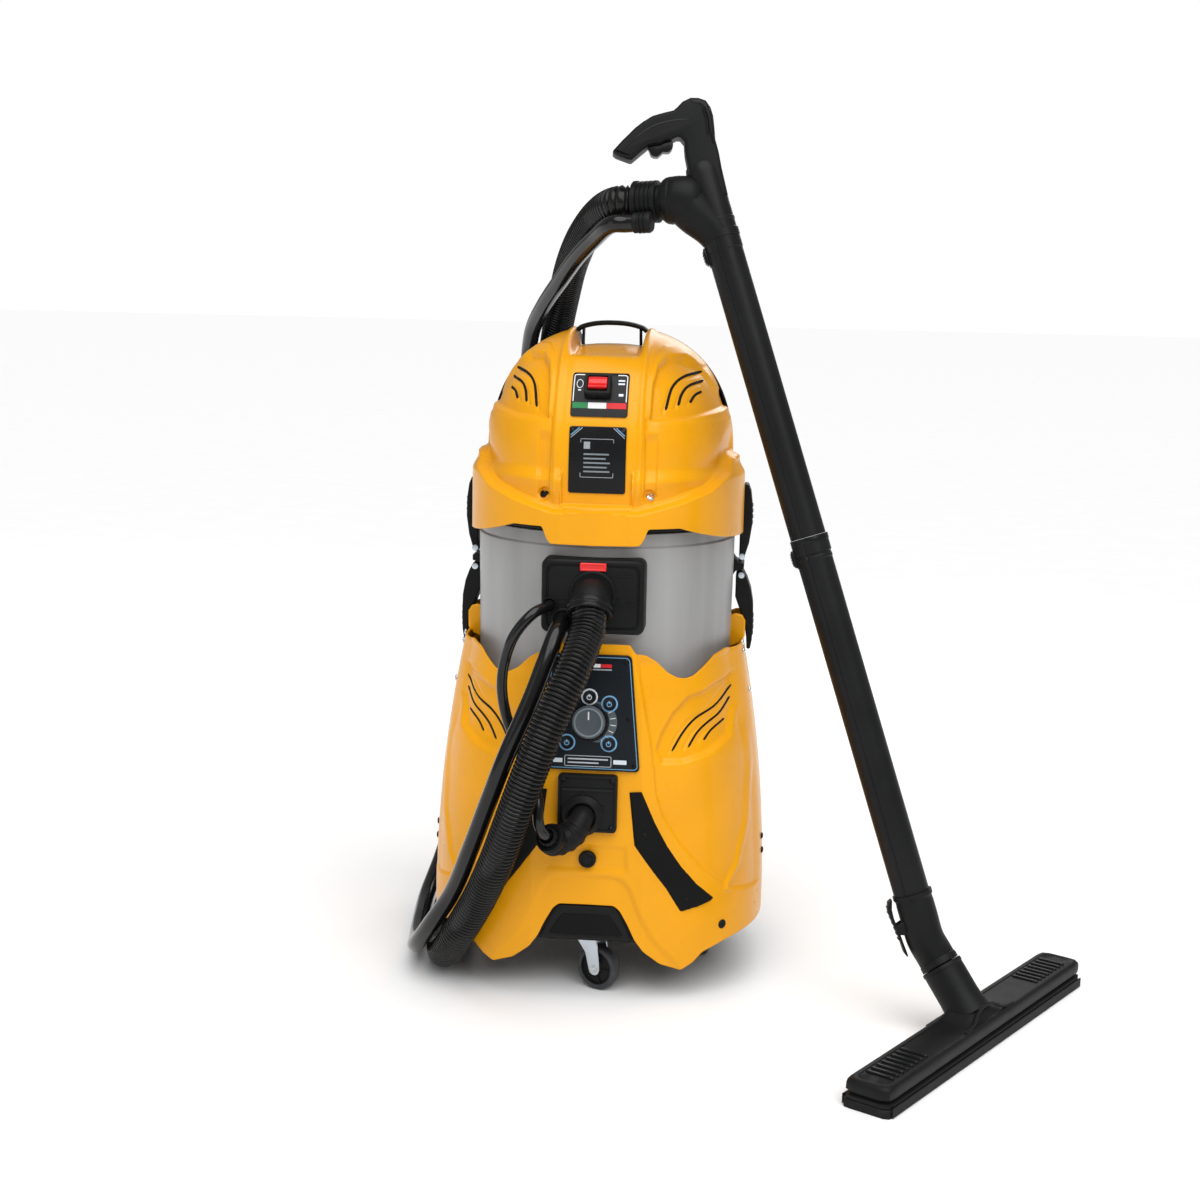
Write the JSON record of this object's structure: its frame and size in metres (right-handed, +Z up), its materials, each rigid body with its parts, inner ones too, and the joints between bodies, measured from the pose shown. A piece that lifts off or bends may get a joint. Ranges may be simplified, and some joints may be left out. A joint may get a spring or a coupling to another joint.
{
  "type": "steam cleaner",
  "caption": "Upright commercial steam and vacuum cleaner on swivel casters, with a domed head, a clear recovery tank, stowed hoses and a floor wand leaning beside it.",
  "frame": {"origin": "on the floor, under the middle of the box that the machine and its wand fill together", "axes": "+Z up; the machine's front with its panel and dial faces -Y; the wand stands on the +X side"},
  "size_m": [0.9459, 0.8223, 1.1675],
  "materials": {
    "yellow_shell": "gloss",
    "black_plastic": "satin",
    "black_gloss": "gloss",
    "black_rubber": "matte",
    "tank_plastic": "satin",
    "red_plastic": "gloss",
    "dial_grey": "satin",
    "zinc_steel": "satin",
    "grey_plastic": "satin",
    "filter_cloth": "matte",
    "boiler_jacket": "matte",
    "motor_alloy": "satin"
  },
  "bodies": {
    "machine": {"chassis": "black_plastic", "lower_cover": "yellow_shell", "rear_cover": "yellow_shell", "recovery_tank": "tank_plastic", "inlet_plate": "black_plastic", "hose_inlet_elbow": "black_plastic", "vacuum_hose": "black_rubber", "steam_hose": "black_rubber", "branch_hose": "black_rubber", "hose_cuff": "black_plastic", "steam_hose_union": "black_plastic", "control_panel": "black_gloss", "steam_outlet_flange": "black_plastic", "steam_connector": "black_plastic", "boiler": "boiler_jacket", "water_tank": "tank_plastic", "water_pump": "black_plastic", "mains_inlet": "black_plastic", "boiler_drain_cap": "black_plastic"},
    "head": {"head_cover": "yellow_shell", "head_rear_cover": "black_plastic", "head_base": "black_plastic", "vacuum_motor": "motor_alloy", "cartridge_filter": "filter_cloth", "carry_handle": "black_plastic", "switch_plate": "black_gloss", "switch_housing": "black_plastic", "data_plate": "black_gloss"},
    "impeller": {"motor_impeller": "motor_alloy"},
    "rocker": {"switch_rocker": "red_plastic"},
    "release": {"release_button": "red_plastic"},
    "dial": {"control_dial": "dial_grey"},
    "filler_cap": {"water_filler_cap": "black_plastic"},
    "wand": {"wand_handle": "black_plastic", "upper_tube": "black_plastic", "lower_tube": "black_plastic", "wand_elbow": "black_plastic"},
    "trigger": {"steam_trigger": "grey_plastic"},
    "clip_upper": {"upper_tube_clip": "black_plastic"},
    "clip_lower": {"lower_tube_clip": "black_plastic"},
    "lever": {"elbow_lever": "black_plastic"},
    "tool": {"floor_tool": "black_plastic", "tool_sole": "black_rubber"},
    "latch_upper_left_arm": {"latch_upper_left": "black_plastic"},
    "latch_lower_left_arm": {"latch_lower_left": "black_plastic"},
    "latch_upper_right_arm": {"latch_upper_right": "black_plastic"},
    "latch_lower_right_arm": {"latch_lower_right": "black_plastic"},
    "button_1": {"panel_button_1": "black_gloss"},
    "button_2": {"panel_button_2": "black_gloss"},
    "button_3": {"panel_button_3": "black_gloss"},
    "button_4": {"panel_button_4": "black_gloss"},
    "front_caster": {"caster_front_fork": "zinc_steel"},
    "front_wheel": {"caster_front_wheel": "black_rubber"},
    "right_caster": {"caster_right_fork": "zinc_steel"},
    "right_wheel": {"caster_right_wheel": "black_rubber"},
    "left_caster": {"caster_left_fork": "zinc_steel"},
    "left_wheel": {"caster_left_wheel": "black_rubber"},
    "rear_caster": {"caster_rear_fork": "zinc_steel"},
    "rear_wheel": {"caster_rear_wheel": "black_rubber"}
  },
  "joints": [
    {"name": "head_lift", "type": "slide", "parent": "machine", "child": "head", "axis": [0, 0, 1], "range_m": [0, 0.045]},
    {"name": "impeller_spin", "type": "hinge", "parent": "head", "child": "impeller", "pos_m": [-0.21987, 0.14295, 0.6315], "axis": [0, 0, 1], "continuous": true},
    {"name": "switch_rock", "type": "hinge", "parent": "head", "child": "rocker", "pos_m": [-0.22287, -0.00807, 0.80651], "axis": [1, 0, 0], "range_deg": [-8, 8]},
    {"name": "latch_upper_right_turn", "type": "hinge", "parent": "machine", "child": "latch_upper_right_arm", "pos_m": [-0.03687, 0.17295, 0.566], "axis": [0, 1, 0], "range_deg": [0, 70]},
    {"name": "latch_upper_left_turn", "type": "hinge", "parent": "machine", "child": "latch_upper_left_arm", "pos_m": [-0.40287, 0.17295, 0.566], "axis": [0, -1, 0], "range_deg": [0, 70]},
    {"name": "latch_lower_right_turn", "type": "hinge", "parent": "machine", "child": "latch_lower_right_arm", "pos_m": [-0.03687, 0.17295, 0.54], "axis": [0, -1, 0], "range_deg": [0, 70]},
    {"name": "latch_lower_left_turn", "type": "hinge", "parent": "machine", "child": "latch_lower_left_arm", "pos_m": [-0.40287, 0.17295, 0.54], "axis": [0, 1, 0], "range_deg": [0, 70]},
    {"name": "release_press", "type": "slide", "parent": "machine", "child": "release", "axis": [0, 1, 0], "range_m": [0, 0.002], "stiffness_N_per_m": 600},
    {"name": "button_1_press", "type": "slide", "parent": "machine", "child": "button_1", "axis": [0, 0.9946, -0.1042], "range_m": [0, 0.0012], "stiffness_N_per_m": 600},
    {"name": "button_2_press", "type": "slide", "parent": "machine", "child": "button_2", "axis": [0, 0.995, -0.1002], "range_m": [0, 0.0012], "stiffness_N_per_m": 600},
    {"name": "button_3_press", "type": "slide", "parent": "machine", "child": "button_3", "axis": [0, 0.9972, -0.0748], "range_m": [0, 0.0012], "stiffness_N_per_m": 600},
    {"name": "button_4_press", "type": "slide", "parent": "machine", "child": "button_4", "axis": [0, 0.9972, -0.0748], "range_m": [0, 0.0012], "stiffness_N_per_m": 600},
    {"name": "dial_turn", "type": "hinge", "parent": "machine", "child": "dial", "pos_m": [-0.22087, -0.06167, 0.3775], "axis": [0, -0.9961, 0.0884], "range_deg": [0, 270]},
    {"name": "front_caster_swivel", "type": "hinge", "parent": "machine", "child": "front_caster", "pos_m": [-0.21987, -0.00705, 0.0805], "axis": [0, 0, 1], "continuous": true},
    {"name": "front_wheel_spin", "type": "hinge", "parent": "front_caster", "child": "front_wheel", "pos_m": [-0.20606, -0.01409, 0.03], "axis": [0.454, 0.891, 0], "continuous": true},
    {"name": "right_caster_swivel", "type": "hinge", "parent": "machine", "child": "right_caster", "pos_m": [-0.06987, 0.15295, 0.0805], "axis": [0, 0, 1], "continuous": true},
    {"name": "right_wheel_spin", "type": "hinge", "parent": "right_caster", "child": "right_wheel", "pos_m": [-0.07256, 0.13769, 0.03], "axis": [0.9848, -0.1736, 0], "continuous": true},
    {"name": "left_caster_swivel", "type": "hinge", "parent": "machine", "child": "left_caster", "pos_m": [-0.36987, 0.15295, 0.0805], "axis": [0, 0, 1], "continuous": true},
    {"name": "left_wheel_spin", "type": "hinge", "parent": "left_caster", "child": "left_wheel", "pos_m": [-0.36717, 0.16822, 0.03], "axis": [-0.9848, 0.1736, 0], "continuous": true},
    {"name": "rear_caster_swivel", "type": "hinge", "parent": "machine", "child": "rear_caster", "pos_m": [-0.21987, 0.29295, 0.0805], "axis": [0, 0, 1], "continuous": true},
    {"name": "rear_wheel_spin", "type": "hinge", "parent": "rear_caster", "child": "rear_wheel", "pos_m": [-0.21212, 0.30637, 0.03], "axis": [-0.866, 0.5, 0], "continuous": true},
    {"name": "filler_cap_turn", "type": "hinge", "parent": "machine", "child": "filler_cap", "pos_m": [-0.30487, 0.33849, 0.395], "axis": [0, 1, 0], "range_deg": [0, 90]},
    {"name": "wand_swing", "type": "hinge", "parent": "machine", "child": "wand", "pos_m": [-0.12296, 0.03794, 1.03937], "axis": [-0.9681, 0.2409, -0.0688], "range_deg": [0, 60]},
    {"name": "trigger_pull", "type": "hinge", "parent": "wand", "child": "trigger", "pos_m": [-0.14116, 0.04809, 1.10578], "axis": [-0.0859, 0.9811, -0.1734], "range_deg": [0, 5], "stiffness_Nm_per_rad": 2},
    {"name": "upper_clip_press", "type": "slide", "parent": "wand", "child": "clip_upper", "axis": [0.9461, 0.1349, 0.2945], "range_m": [0, 0.0015], "stiffness_N_per_m": 600},
    {"name": "lower_clip_press", "type": "slide", "parent": "wand", "child": "clip_lower", "axis": [0.9461, 0.1349, 0.2945], "range_m": [0, 0.0015], "stiffness_N_per_m": 600},
    {"name": "lever_press", "type": "hinge", "parent": "wand", "child": "lever", "pos_m": [0.18144, -0.09584, 0.13186], "axis": [-0.0859, 0.9811, -0.1734], "range_deg": [0, 2.5], "stiffness_Nm_per_rad": 4},
    {"name": "tool_swivel", "type": "hinge", "parent": "wand", "child": "tool", "pos_m": [0.23818, -0.09857, 0.08834], "axis": [0.5278, -0.3354, -0.7804], "range_deg": [-35, 35]}
  ]
}
